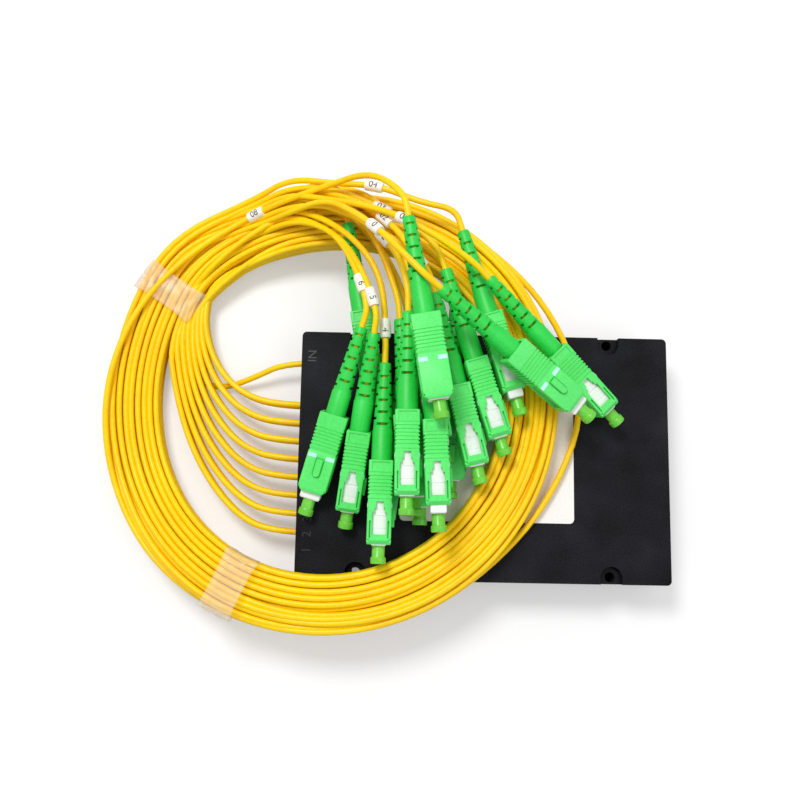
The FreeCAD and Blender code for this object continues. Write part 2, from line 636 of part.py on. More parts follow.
# A sleeve: its cord, the run of the route it sits on, and its middle's share of that run.
SLEEVES = [("i", 3, 0.5), ("k", 3, 0.5), ("j", 3, 0.5), ("g", 3, 0.5), ("a", 3, 0.45), ("b", 3, 0.5),
           ("c", 3, 0.5), ("m", 3, 0.5), ("d", 3, 0.5), ("h", 3, 0.5)]


def on_axis(plug, x):
    """The point on a plug's axis at local x."""
    return plug_placement(plug).multVec(V(x, 0, 0))


def tail_route(plug):
    rear = -mm("body_long") - mm("boot_long")
    ends = [on_axis(plug, rear - mm("boot_approach")), on_axis(plug, rear)]
    return [above_cover(point) for point in TAILS[plug[0]]] + ends


def make_tails():
    """Each cord from the coil into its boot, and the straight end of it that the crimp sleeve holds."""
    radius, solids = mm("cord_dia") / 2, []
    rear, crimped = -mm("body_long") - mm("boot_long"), -mm("body_long") + mm("crimp_long")
    for plug in PLUGS:
        solids.append(tube(tail_route(plug), radius))
        start = on_axis(plug, rear)
        along = on_axis(plug, crimped) - start
        solids.append(Part.makeCylinder(radius, along.Length, start, along))
    return shape_of("plug_tails", Part.makeCompound(solids))


def make_number_sleeves():
    """White sleeves that carry the cords' numbers."""
    long, inner, outer = mm("sleeve_long"), mm("cord_dia") / 2, mm("sleeve_radius")
    routes = {plug[0]: tail_route(plug) for plug in PLUGS}
    solids = []
    for name, run, share in SLEEVES:
        a, b = V(*routes[name][run]), V(*routes[name][run + 1])
        along = (b - a).normalize()
        start = a + (b - a) * share - along * (long / 2)
        outside = Part.makeCylinder(outer, long, start, along)
        solids.append(outside.cut(Part.makeCylinder(inner, long, start, along)))
    return shape_of("number_sleeves", Part.makeCompound(solids))


# ---------------------------------------------------------------- build and export

def build():
    parts = [make_base_shell(), make_top_cover(), make_sticker()]
    parts += make_chip_parts() + make_fan_out()
    parts += [make_inner_fibres(), make_cord_coil()]
    parts += [make_tape(name, angle) for name, angle in TAPES.items()]
    parts += make_leads() + [make_tails(), make_number_sleeves()] + make_plugs()
    return parts


parts = build()
doc.recompute()
os.makedirs(OUT, exist_ok=True)
for part in parts:
    state = [s for s in part.State if s not in ("Up-to-date", "Touched")]
    if state or part.Shape.isNull() or not part.Shape.isValid():
        raise SystemExit(f"{part.Name} is not sound: {part.State}")
    part.Shape.exportStep(f"{OUT}/{part.Name}.step")
print("parts", len(parts), "smallest bend", round(min(bend_radii), 1), "mm")
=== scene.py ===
"""Fibre splitter module: a black box, seventeen yellow cords in a taped coil, and their green plugs.

Every shape is worked out in millimetres in the model's own frame, and turned to metres as it becomes a mesh.
"""
import math

import bpy
import numpy as np
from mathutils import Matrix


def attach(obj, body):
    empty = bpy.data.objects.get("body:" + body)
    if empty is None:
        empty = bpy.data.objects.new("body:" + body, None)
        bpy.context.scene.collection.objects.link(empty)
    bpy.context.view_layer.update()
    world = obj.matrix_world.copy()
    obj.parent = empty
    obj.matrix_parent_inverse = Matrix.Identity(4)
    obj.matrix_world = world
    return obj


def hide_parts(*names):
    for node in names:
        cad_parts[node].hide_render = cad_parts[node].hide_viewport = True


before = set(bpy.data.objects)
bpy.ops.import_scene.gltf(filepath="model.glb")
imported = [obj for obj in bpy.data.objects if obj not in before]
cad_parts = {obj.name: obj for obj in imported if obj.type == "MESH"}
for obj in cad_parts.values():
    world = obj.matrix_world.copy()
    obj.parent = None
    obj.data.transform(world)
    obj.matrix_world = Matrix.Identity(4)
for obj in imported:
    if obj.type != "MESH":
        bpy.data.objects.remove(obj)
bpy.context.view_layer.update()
MM = 0.001
BOX_TOP = 18.0
CORNER_STEPS = 4
ROOT = "module"


# ---------------------------------------------------------------- meshes

def make_object(name, verts, faces, materials, face_kinds=None, sharp=30, body=ROOT):
    """A piece from vertices in millimetres. Edges sharper than the angle stay crisp."""
    mesh = bpy.data.meshes.new(name)
    mesh.from_pydata((np.asarray(verts) * MM).tolist(), [], [list(map(int, f)) for f in faces])
    for item in materials:
        mesh.materials.append(item)
    if face_kinds is not None:
        mesh.polygons.foreach_set("material_index", np.asarray(face_kinds, np.int32))
    finish_shading(mesh, sharp)
    return link(name, mesh, body)


def finish_shading(mesh, sharp):
    mesh.polygons.foreach_set("use_smooth", np.ones(len(mesh.polygons), bool))
    mesh.update()
    mesh.set_sharp_from_angle(angle=math.radians(sharp))


def link(name, data, body=ROOT):
    piece = bpy.data.objects.new(name, data)
    bpy.context.scene.collection.objects.link(piece)
    if body:
        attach(piece, body)
    return piece


def grid_faces(rows, columns):
    """Quads of a rows by columns grid of vertices, its columns joined into a ring."""
    r, c = np.meshgrid(np.arange(rows - 1), np.arange(columns), indexing="ij")
    a, b = r * columns + c, r * columns + (c + 1) % columns
    return np.stack([a, b, b + columns, a + columns], axis=-1).reshape(-1, 4)


def lofted(rings, flip=False):
    """Rings (n, m, 3) joined into a closed solid, with a face over each end."""
    rings = np.asarray(rings, float)
    n, m = rings.shape[:2]
    faces = [list(f) for f in grid_faces(n, m)]
    faces += [list(range(m))[::-1], list(range((n - 1) * m, n * m))]
    if flip:
        faces = [f[::-1] for f in faces]
    return rings.reshape(-1, 3), faces


def rounded_section(half_y, half_z, corner):
    """A rectangle of those half sizes with its corners as quarter circles, from the +Y side round to +Z."""
    turn = np.linspace(0, math.pi / 2, CORNER_STEPS + 1)
    quarter = np.stack([np.cos(turn), np.sin(turn)], axis=1) * corner
    parts = []
    for k, (sy, sz) in enumerate([(1, 1), (-1, 1), (-1, -1), (1, -1)]):
        a = k * math.pi / 2
        spin = np.array([[math.cos(a), math.sin(a)], [-math.sin(a), math.cos(a)]])
        parts.append(quarter @ spin + [sy * (half_y - corner), sz * (half_z - corner)])
    return np.concatenate(parts)


def prism(stations, corner):
    """A loft along X: each station is x, half width in Y and half height in Z."""
    rings = [np.insert(rounded_section(half_y, half_z, corner), 0, x, axis=1) for x, half_y, half_z in stations]
    return lofted(rings)



def slab(x0, x1, y0, y1, z0, z1):
    """A plain block between two corners, used only to cut with and for small inlays."""
    verts = np.array([[x, y, z] for x in (x0, x1) for y in (y0, y1) for z in (z0, z1)], float)
    faces = [(0, 1, 3, 2), (4, 6, 7, 5), (0, 4, 5, 1), (2, 3, 7, 6), (0, 2, 6, 4), (1, 5, 7, 3)]
    return verts, [list(f) for f in faces]


def turned(profile, steps=32):
    """A solid of revolution about X. The profile is rows of x and radius."""
    angle = np.linspace(0, 2 * math.pi, steps, endpoint=False)
    profile = np.asarray(profile, float)
    x = np.repeat(profile[:, :1], steps, axis=1)
    rings = np.stack([x, profile[:, 1:] * np.cos(angle), profile[:, 1:] * np.sin(angle)], axis=-1)
    return lofted(rings)


def merged(shapes):
    """Several vertex and face lists as one, with each face's place in the list of shapes."""
    verts, faces, kinds, start = [], [], [], 0
    for kind, (v, f) in enumerate(shapes):
        verts.append(v)
        faces += [[int(i) + start for i in face] for face in f]
        kinds += [kind] * len(f)
        start += len(v)
    return np.concatenate(verts), faces, kinds


def carved(base, cutters):
    """The base solid less each cutter, as vertices in millimetres and faces."""
    def temporary(shape):
        mesh = bpy.data.meshes.new("carving")
        mesh.from_pydata(shape[0].tolist(), [], [list(map(int, f)) for f in shape[1]])
        piece = bpy.data.objects.new("carving", mesh)
        bpy.context.scene.collection.objects.link(piece)
        return piece

    block = temporary(base)
    tools = [temporary(shape) for shape in cutters]
    for tool in tools:
        modifier = block.modifiers.new("cut", "BOOLEAN")
        modifier.operation, modifier.solver, modifier.object = "DIFFERENCE", "EXACT", tool
    evaluated = block.evaluated_get(bpy.context.evaluated_depsgraph_get())
    mesh = evaluated.to_mesh()
    verts = np.empty(len(mesh.vertices) * 3)
    mesh.vertices.foreach_get("co", verts)
    faces = [list(face.vertices) for face in mesh.polygons]
    evaluated.to_mesh_clear()
    for piece in [block] + tools:
        data = piece.data
        bpy.data.objects.remove(piece)
        bpy.data.meshes.remove(data)
    return verts.reshape(-1, 3), faces


# ---------------------------------------------------------------- materials

def colour(hex_text):
    """An sRGB hex colour as linear red, green, blue and alpha."""
    parts = [int(hex_text[k:k + 2], 16) / 255 for k in (1, 3, 5)]
    return [p / 12.92 if p <= 0.04045 else ((p + 0.055) / 1.055) ** 2.4 for p in parts] + [1.0]


def add(tree, kind, settings=None, **inputs):
    """A node with its settings and links.

    Each input is a value or another node's output, and is named with _ for a space, or as i and its number.
    """
    item = tree.nodes.new(kind)
    for key, value in (settings or {}).items():
        setattr(item, key, value)
    for key, value in inputs.items():
        numbered = key[0] == "i" and key[1:].isdigit()
        socket = item.inputs[int(key[1:]) if numbered else key.replace("_", " ")]
        if isinstance(value, bpy.types.NodeSocket):
            tree.links.new(value, socket)
        else:
            socket.default_value = value
    return item


MOTTLE_MM = 18.0


def finish(name, low, high, grain_mm, bump, roughness, rough_spread=0.08, stretch=(1, 1, 1), **surface):
    """A surface whose colour runs between two shades in grains of that size, with the same grains as relief.

    grain_mm is the size of the grain and bump its height, both in millimetres. Half of the shade comes from a
    broad mottle that is the same for all surfaces.
    """
    made = bpy.data.materials.new(name)
    made.use_nodes = True
    tree = made.node_tree
    tree.nodes.clear()
    place = add(tree, "ShaderNodeTexCoord").outputs["Object"]
    spread = add(tree, "ShaderNodeMapping", Vector=place, Scale=stretch).outputs[0]
    grain = add(tree, "ShaderNodeTexNoise", Vector=spread, Scale=1 / (grain_mm * MM), Detail=3.0, Roughness=0.6)
    broad = add(tree, "ShaderNodeTexNoise", Vector=place, Scale=1 / (MOTTLE_MM * MM), Detail=2.0)
    fine = add(tree, "ShaderNodeMath", {"operation": "MULTIPLY"}, i0=grain.outputs[0], i1=0.5)
    both = add(tree, "ShaderNodeMath", {"operation": "MULTIPLY_ADD"}, i0=broad.outputs[0], i1=0.5,
               i2=fine.outputs[0])
    share = add(tree, "ShaderNodeMapRange", Value=both.outputs[0], From_Min=0.35, From_Max=0.65)
    shade = add(tree, "ShaderNodeMix", {"data_type": "RGBA"}, i0=share.outputs[0], i6=colour(low),
                i7=colour(high))
    gloss = add(tree, "ShaderNodeMapRange", Value=grain.outputs[0], To_Min=roughness - rough_spread,
                To_Max=roughness + rough_spread)
    relief = add(tree, "ShaderNodeBump", Height=grain.outputs[0], Strength=1.0, Distance=bump * MM)
    shader = add(tree, "ShaderNodeBsdfPrincipled", Base_Color=shade.outputs[2], Roughness=gloss.outputs[0],
                 Normal=relief.outputs[0], **surface)
    add(tree, "ShaderNodeOutputMaterial", Surface=shader.outputs[0])
    return made


# Moulded ABS from a spark-eroded tool: a dull black with a fine even sparkle, drawn coarse enough to see. The
# sparkle is partly painted: the paler grains of the colour are painted glints, and the same grains are also
# real relief and spots of differing roughness.
BLACK_ABS_PAINTED_SPARKLE = finish("abs_spark_eroded_painted_sparkle", "#020203", "#24242a", 0.5, 0.16, 0.5, 0.18, Specular_IOR_Level=0.1)
# The same moulding where the tool was left smooth: the marks read as slightly paler and shinier than the box.
MARK_ABS = finish("abs_polished_mark", "#0b0b0d", "#18181b", 0.5, 0.01, 0.4)
# Coated vinyl: flat white, a soft sheen.
VINYL = finish("vinyl_label", "#ece9e6", "#f5f3f1", 0.8, 0.004, 0.42)
# Extruded cord jacket: smooth and waxy, a warm yellow that turns orange where cords shade each other.
JACKET = finish("cord_jacket_extruded", "#ffc600", "#ffd900", 1.3, 0.01, 0.34, 0.05, Specular_IOR_Level=0.28)
# Glass-filled PBT moulding: light leaf green, satin, faintly mottled.
GRIP_PBT = finish("pbt_moulded_grip", "#4fdd63", "#60ec76", 0.9, 0.006, 0.42, 0.05, Specular_IOR_Level=0.4)
# Soft elastomer: a deeper green, duller than the grip.
BOOT_TPE = finish("elastomer_boot", "#1cc53e", "#2cd750", 0.7, 0.01, 0.46)
# Natural polyethylene with yellow-green pigment: light goes a little way in.
CAP_PE = finish("polyethylene_cap", "#62c036", "#7ad84a", 1.0, 0.005, 0.3, 0.05, Subsurface_Weight=0.25,
                Subsurface_Radius=(0.0012, 0.0016, 0.0004), Subsurface_Scale=1.0)
# White PBT moulding: clean and satin, a cool white inside the green windows.
BODY_PBT = finish("pbt_white_body", "#e6e8e6", "#f4f5f3", 0.8, 0.004, 0.38)
# Moulded inlay: a flat pale aqua that breaks up the green of the grip.
STRIPE = finish("pale_inlay", "#a9e9dc", "#c4f7ec", 0.8, 0.002, 0.4)
# Heat-shrunk PVC tube: a slightly warm white with a soft sheen.
SLEEVE_PVC = finish("printed_sleeve", "#f1ece2", "#faf7f0", 0.8, 0.004, 0.45)
# Printing ink: a dense matt black.
INK = finish("black_ink", "#101010", "#1d1d1d", 0.5, 0.001, 0.5)
# Thin polypropylene tape: clear, slightly amber, with the glue's faint haze.
TAPE_FILM = finish("polypropylene_tape", "#f0d8b4", "#fbeedc", 2.0, 0.05, 0.22, 0.08, Alpha=0.2, IOR=1.49)
# Polished zirconia: a glossy cream white.
ZIRCONIA = finish("zirconia_ferrule", "#e9e6dd", "#f5f3ec", 0.6, 0.001, 0.15)
# Drawn steel: a mid grey metal with fine lines along its length.
STEEL = finish("drawn_steel", "#8f8d88", "#b1afa9", 0.5, 0.004, 0.35, 0.1, stretch=(0.1, 1, 1), Metallic=1.0)
# Polished silica: nearly clear, faintly blue, with sharp reflections.
GLASS = finish("silica_chip", "#c9d6d9", "#dfe9ea", 0.6, 0.001, 0.08, 0.03, Transmission_Weight=0.6)
# Cast epoxy: a dull stone colour with a slight shine.
RESIN = finish("cast_epoxy", "#b9b4a4", "#cdc8b9", 1.5, 0.01, 0.35)

CAD_FINISHES = {
    "sticker": VINYL, "chip_case": STEEL, "plc_chip": GLASS, "fibre_array_in": GLASS, "fibre_array_out": GLASS,
    "fan_out_block": RESIN, "cord_clamp_block": RESIN, "inner_fibres": GLASS, "ferrules": ZIRCONIA,
    "crimp_sleeves": STEEL}
for node_name, surface in CAD_FINISHES.items():
    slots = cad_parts[node_name].data.materials
    slots.clear()
    slots.append(surface)


# ---------------------------------------------------------------- the box

def softened_copy(node, edge_mm):
    """A CAD node's own shape with its loose triangles joined and its sharp edges rounded off."""
    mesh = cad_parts[node].data.copy()
    mesh.materials.clear()
    mesh.materials.append(BLACK_ABS_PAINTED_SPARKLE)
    piece = link(f"{node}_moulding", mesh)
    weld = piece.modifiers.new("weld", "WELD")
    weld.merge_threshold = 0.01 * MM
    bevel = piece.modifiers.new("soft_edges", "BEVEL")
    bevel.width, bevel.segments, bevel.limit_method = edge_mm * MM, 2, "ANGLE"
    bevel.angle_limit = math.radians(50)
    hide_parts(node)
    return piece


softened_copy("base_shell", 0.25)
softened_copy("top_cover", 0.3)


def lettering(name, text, size, thick, surface, lay):
    """Text as a mesh. lay takes its flat points, in millimetres, to their places."""
    curve = bpy.data.curves.new(name, "FONT")
    curve.body, curve.size, curve.extrude = text, size, thick
    curve.align_x, curve.align_y = "CENTER", "CENTER"
    holder = bpy.data.objects.new(name, curve)
    bpy.context.scene.collection.objects.link(holder)
    mesh = bpy.data.meshes.new_from_object(holder)
    bpy.data.objects.remove(holder)
    bpy.data.curves.remove(curve)
    flat = np.empty(len(mesh.vertices) * 3)
    mesh.vertices.foreach_get("co", flat)
    mesh.vertices.foreach_set("co", (lay(flat.reshape(-1, 3)) * MM).ravel())
    mesh.materials.clear()
    mesh.materials.append(surface)
    mesh.update()
    piece = link(name, mesh)
    return piece


MARK_SIZE, MARK_THICK, MARK_X = 4.0, 0.03, -56.4
MARK_Z = BOX_TOP + 0.02
QUARTER_TURN = np.array([[0, 1, 0], [-1, 0, 0], [0, 0, 1]])

for label, mark_y in (("IN", 31.9), ("1", -30.9), ("2", -25.9), ("3", -21.1), ("6", -5.2)):
    lettering(f"mark_{label}", label, MARK_SIZE, MARK_THICK, MARK_ABS,
              lambda flat: flat @ QUARTER_TURN + [MARK_X, mark_y, MARK_Z])


# ---------------------------------------------------------------- one plug in its own frame
# Local +X points out of the nose, +Z out of the key face, X = 0 at the front of the white body.

GRIP_BACK, GRIP_FRONT = -25.7, -0.3
GRIP_FULL = (4.5, 3.7)   # half width and half height
RIB_FIRST, RIB_PITCH, RIBS = -20.7, 1.1, 6
RIB_GROOVE = (4.2, 3.4)  # half width and half height between two ribs
BAND_GROOVE = (4.3, 3.6)
GRIP_BORE = (3.4, 2.6)
OUTSIDE = 6              # a cutter's end, clear of every plug piece


def span(side, near, far):
    """The stretch from near to far on that side of the axis, lower end first."""
    return sorted((side * near, side * far))


def grip_shape():
    """The sliding grip: a rounded rectangle carried along X, narrowed at each rib, cut at the nose corners.

    The bore, the stepped windows, their side slots, the rear panels and the key's outline are cut out of it.
    """
    stations = [(GRIP_BACK, 4.3, 3.5), (GRIP_BACK + 0.2, *GRIP_FULL)]
    for k in range(RIBS):
        middle = RIB_FIRST + k * RIB_PITCH
        stations += [(middle - 0.32, *GRIP_FULL), (middle - 0.22, *RIB_GROOVE), (middle + 0.22, *RIB_GROOVE),
                     (middle + 0.32, *GRIP_FULL)]
    stations += [(-14.1, *GRIP_FULL), (-13.9, *BAND_GROOVE), (-13.3, *BAND_GROOVE), (-13.1, *GRIP_FULL),
                 (-1.5, *GRIP_FULL), (-0.5, 3.5, 3.65), (GRIP_FRONT, 3.3, 3.5)]
    cutters = [
        prism([(-30, *GRIP_BORE), (2, *GRIP_BORE)], 0.4),
        turned([(-27, 3.4), (-21.2, 3.4)]),  # room for the boot's collar
        # the window, its narrow rear end and the step between them
        slab(-9.9, -3.3, -OUTSIDE, OUTSIDE, -2.15, 2.15),
        slab(-13.2, -9.8, -OUTSIDE, OUTSIDE, -1.1, 1.1),
        slab(-11.2, -9.8, -OUTSIDE, OUTSIDE, -1.55, 1.55)]
    for side in (-1, 1):
        # the rear panel and the line in front of it
        cutters.append(slab(-25.1, -22.5, *span(side, 4.15, OUTSIDE), -2.7, 2.7))
        cutters.append(slab(-22.05, -21.75, *span(side, 4.3, OUTSIDE), -3.9, 3.9))
        for up in (-1, 1):
            # a slot beside the window and a corner of the nose
            cutters.append(slab(-7.4, -2.2, *span(side, 3.5, OUTSIDE), *span(up, 2.55, 3.0)))
            cutters.append(slab(-1.9, 0.5, *span(side, 3.9, OUTSIDE), *span(up, 2.9, 3.9)))
    cutters.append(tongue(KEY_GAP, [(0, 3.3), (0, 5.0)]))
    return carved(prism(stations, 0.45), cutters)


KEY_BACK, KEY_NOSE, KEY_HALF = -11.2, -6.6, 1.05
KEY_GAP = 0.35  # width of the groove round the key


def tongue(margin, heights):
    """The key's outline, widened by a margin, carried up Z: a tongue with a round front end.

    Each height comes with how far the outline is drawn in there.
    """
    turn = np.linspace(-math.pi / 2, math.pi / 2, 13)
    rings = []
    for inset, z in heights:
        half = KEY_HALF + margin - inset
        back = KEY_BACK - margin + inset
        nose = np.stack([KEY_NOSE + half * np.cos(turn), half * np.sin(turn)], axis=1)
        outline = np.concatenate([nose, [[back, half], [back, -half]]])
        rings.append(np.column_stack([outline, np.full(len(outline), z)]))
    return lofted(rings)


def stripe_shapes():
    """The two pale inlays across each wide face, level with the back of the key."""
    return [slab(-12.6, -11.3, *span(side, 1.5, 4.25), *span(up, 3.4, 3.75))
            for side in (-1, 1) for up in (-1, 1)]


def body_shape():
    """The white body: a rounded rectangle with a round mouth and shallow bands that show in the windows."""
    full, band = (3.2, 2.4), (3.05, 2.3)
    outer = prism([(-24.5, *full), (-9.0, *full), (-8.8, *band), (-8.5, *band), (-8.3, *full), (-5.2, *full),
                   (-5.1, *band), (-4.9, *band), (-4.8, *full), (-0.4, *full), (0.0, 2.95, 2.15)], 0.45)
    mouth, ferrule_bore = turned([(-5.0, 2.1), (1.0, 2.1)]), turned([(-9.5, 1.27), (1.0, 1.27)])
    return carved(outer, [mouth, ferrule_bore])


BOOT_ROWS, BOOT_ROW_FIRST, BOOT_ROW_PITCH = 10, -36.9, 1.86
BOOT_CORE = 0.93       # radius at the foot of a slot, just inside the cord
SLOT_HALF_TURN = 40    # degrees


def boot_shape():
    """The bend relief: a collar, then a taper whose radius drops to the cord in rows of slots.

    Each row has two opposite slots, and the next row's are turned a quarter round.
    """
    rows = [BOOT_ROW_FIRST - BOOT_ROW_PITCH * k for k in range(BOOT_ROWS)]
    x = [-24.5, -34.8, -35.2, -35.9]
    kinds = [0, 0, 0, 0]  # 0 where the ring is whole, 1 or 2 for the row's pair of slots
    for k, middle in enumerate(rows):
        x += [middle + 0.42, middle + 0.38, middle - 0.38, middle - 0.42]
        kinds += [0, 1 + k % 2, 1 + k % 2, 0]
    x += [-55.9, -56.2]
    kinds += [0, 0]
    offsets = np.array([-44, -SLOT_HALF_TURN, -27, -13.5, 0, 13.5, 27, SLOT_HALF_TURN, 44])
    angle = (np.arange(4)[:, None] * 90 + offsets).ravel()
    quadrant = np.repeat(np.arange(4), len(offsets))
    x, kinds = np.array(x), np.array(kinds)
    taper = np.interp(-x, [24.5, 34.8, 35.2, 55.9, 56.2], [3.15, 3.15, 2.95, 1.95, 1.75])
    radius = np.repeat(taper[:, None], len(angle), axis=1)
    inside_slot = np.abs(np.tile(offsets, 4)) <= SLOT_HALF_TURN
    for kind, quadrants in ((1, (0, 2)), (2, (1, 3))):
        hit = (kinds[:, None] == kind) & inside_slot[None] & np.isin(quadrant, quadrants)[None]
        radius[hit] = BOOT_CORE
    a = np.radians(angle)
    rings = np.stack([np.repeat(x[:, None], len(a), axis=1), radius * np.cos(a), radius * np.sin(a)], axis=-1)
    return lofted(rings[::-1])


def cap_shape():
    """The dust cap: a neck, a wider rim with soft edges and a shallow dimple in its end."""
    neck = [(-3.0, 1.85), (-2.9, 1.95), (3.3, 1.95), (3.5, 2.05)]
    rim = [(3.55, 2.25), (3.7, 2.35), (5.25, 2.35), (5.42, 2.28), (5.5, 2.1)]
    dimple = [(5.5, 1.5), (5.3, 1.35), (5.1, 1.2), (5.1, 0.05)]
    return turned(neck + rim + dimple, 36)


# Name, nose point with its height above the cover, heading, nose-up angle, roll, whether the grip is slid back.
PLUGS = [
    ("a", (-55.4, -14.6, 4.6), -106.2, -11.5, 0, True),
    ("b", (-43.4, -18.4, 5.2), -97.6, -12.5, -90, False),
    ("c", (-33.4, -28.8, 13.3), -90.8, 0, -90, False),
    ("d", (-25.3, -14.2, 21.8), -89.5, 0, -90, False),
    ("e", (-16.6, 13.6, 30.7), -80.0, 0, 180, False),
    ("f", (-14.7, 2.0, 13.35), -78.5, 0, -90, True),
    ("g", (-3.7, -4.2, 13.35), -76.0, 0, -90, False),
    ("h", (3.4, 4.6, 13.3), -72.0, 0, -90, False),
    ("i", (8.3, 17.2, 13.3), -72.5, 0, -90, True),
    ("j", (26.8, 14.2, 18.0), -36.5, -16.5, 0, True),
    ("k", (38.0, 14.6, 8.8), -44.8, -12.0, 90, False),
    ("l", (-22.9, -14.2, 12.5), -84.6, 0, 0, False),
    ("m", (-15.9, -19.0, 22.6), -87.0, 0, -90, True),
    ("n", (-11.1, -8.4, 4.0), -91.0, 0, 0, False),
    ("o", (-33.0, -21.8, 4.0), -97.3, 0, 0, False),
    ("p", (-36.2, 20.2, 4.8), -80.2, 0, -90, False),
    ("q", (-20.6, -16.95, 4.0), -91.0, 0, 0, False),
]


def plug_frame(nose, heading, nose_up, roll):
    """The turn and place of a plug: roll about X, then pitch about Y, then heading about Z."""
    h, p, r = (math.radians(v) for v in (heading, -nose_up, roll))
    about_z = np.array([[math.cos(h), -math.sin(h), 0], [math.sin(h), math.cos(h), 0], [0, 0, 1]])
    about_y = np.array([[math.cos(p), 0, math.sin(p)], [0, 1, 0], [-math.sin(p), 0, math.cos(p)]])
    about_x = np.array([[1, 0, 0], [0, math.cos(r), -math.sin(r)], [0, math.sin(r), math.cos(r)]])
    return about_z @ about_y @ about_x, np.array([nose[0], nose[1], nose[2] + BOX_TOP])


GRIP_SLIDE = 2.0
KEY = tongue(0, [(0, 3.2), (0, 4.35), (0.15, 4.55)])
GRIP = merged([grip_shape(), KEY] + stripe_shapes())
GRIP_KINDS = [0 if kind < 2 else 1 for kind in GRIP[2]]
BODY, BOOT, CAP = body_shape(), boot_shape(), cap_shape()
plug_pieces = {}
for name, nose, heading, nose_up, roll, back in PLUGS:
    turn, place = plug_frame(nose, heading, nose_up, roll)
    slid = np.array([-GRIP_SLIDE if back else 0.0, 0, 0])
    grip = make_object(f"grip_{name}_moulding", (GRIP[0] + slid) @ turn.T + place, GRIP[1], [GRIP_PBT, STRIPE],
                       GRIP_KINDS, body=f"grip_{name}")
    cap = make_object(f"cap_{name}_moulding", CAP[0] @ turn.T + place, CAP[1], [CAP_PE], body=f"cap_{name}")
    body = make_object(f"body_{name}", BODY[0] @ turn.T + place, BODY[1], [BODY_PBT])
    boot = make_object(f"boot_{name}", BOOT[0] @ turn.T + place, BOOT[1], [BOOT_TPE], sharp=40)
    for piece, node, slot in ((grip, f"grip_{name}", "grip_green"), (cap, f"cap_{name}", "cap_lime"),
                              (body, "plug_bodies", "body_white"), (boot, "boots", "boot_green")):
        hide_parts(node)
    plug_pieces[name] = [grip, cap, body, boot]


# ---------------------------------------------------------------- the cords
# The coil is wound clockwise, seen from above. A cord's place in it is given by its turns from the left, its
# column, counted outwards, and its row, counted upwards.

COIL_MIDDLE = np.array([-51.7, 18.2])
COIL_INNER, TOP_PULL, TOP_REACH = 56.4, 4.8, 80.0
PITCH, CORD_RADIUS = 2.05, 1.0
STEPS = 16  # control points a turn
ROWS, SET_COLUMNS = 4, 4  # the output cords form one set, and a further turn lays it again outside the first
OUTPUTS = ROWS * SET_COLUMNS
# Angles, in degrees, between which the coil goes down from the cover to the ground and up again.
COVER_END, GROUND_START, GROUND_END, COVER_START = 23, 150, 190, 260


def eased(share):
    """0 to 1 along a smooth step: 3 s^2 - 2 s^3."""
    share = np.clip(share, 0, 1)
    return share * share * (3 - 2 * share)


def coil_lift(angle):
    """Height of the coil's underside: on the ground at the left, on the cover at the right."""
    angle = np.mod(angle, 360)
    high = BOX_TOP + 0.3
    down = high * (1 - eased((angle - COVER_END) / (GROUND_START - COVER_END)))
    up = high * eased((angle - GROUND_END) / (COVER_START - GROUND_END))
    on_cover = (angle >= COVER_START) | (angle <= COVER_END)
    return np.where(on_cover, high, np.where(angle < GROUND_START, down, up))


def coil_inner(angle):
    """Inner radius of the coil, pulled in about its top."""
    angle = np.mod(angle, 360)
    return COIL_INNER - TOP_PULL * eased(1 - np.abs(angle - 90) / TOP_REACH)


SWAP = 4  # samples that a swap takes


def ranks_along(samples, rng):
    """Each output cord's column and row at every sample, and the place in the set that each ends in.

    Now and then two neighbours twist round each other, half a turn about their middle, and swap. No two of the
    top row do, and none in the first column swaps with the one above it, because plugs and caps lie close by.
    """
    cell = np.array([[rank // ROWS, rank % ROWS] for rank in range(OUTPUTS)], float)
    place_of = list(range(OUTPUTS))
    spot = np.zeros((OUTPUTS, samples, 2))
    busy_until = np.zeros(OUTPUTS, int)
    for j in range(samples):
        for cord in range(OUTPUTS):
            if busy_until[cord] <= j:
                spot[cord, j] = cell[place_of[cord]]
        if not SWAP <= j < samples - SWAP - 1:
            continue
        for pick, reach in zip(rng.permutation(OUTPUTS)[:3], rng.permutation([1, ROWS, ROWS])):
            partner = pick + reach
            if partner >= OUTPUTS or pick % ROWS == ROWS - 1 or (reach == 1 and pick < ROWS):
                continue
            one, other = place_of.index(pick), place_of.index(partner)
            if busy_until[one] > j or busy_until[other] > j:
                continue
            middle = (cell[pick] + cell[partner]) / 2
            arm = cell[pick] - middle
            for step in range(1, SWAP):
                a = math.pi * step / SWAP
                spun = np.array([arm[0] * math.cos(a) - arm[1] * math.sin(a),
                                 arm[0] * math.sin(a) + arm[1] * math.cos(a)])
                spot[one, j + step], spot[other, j + step] = middle + spun, middle - spun
            busy_until[one] = busy_until[other] = j + SWAP
            place_of[one], place_of[other] = partner, pick
    return spot, place_of


# The input cord crosses over the others, runs outside them where plugs lie on the coil, and comes back over
# them: turns from the left, column and row.
INPUT_PATH = np.array([
    (0.10, 1.6, 4.1), (0.19, 4.5, 4.2), (0.25, 7.5, 4.2), (0.31, 8.3, 2.8), (0.38, 8.0, 2.2), (1.00, 8.0, 2.2),
    (1.20, 8.2, 0.4), (1.80, 8.2, 0.4), (1.90, 9.0, 2.0), (2.00, 8.0, 4.3), (2.20, 5.6, 4.2)])
# On its second turn it also stands out at the right: by how many millimetres, at which turn, and for how long.
BULGE, BULGE_AT, BULGE_WIDE = 9.2, 1.5, 0.07
LOOSENESS = 0.12  # of a column, by which a cord stands outside its place on average


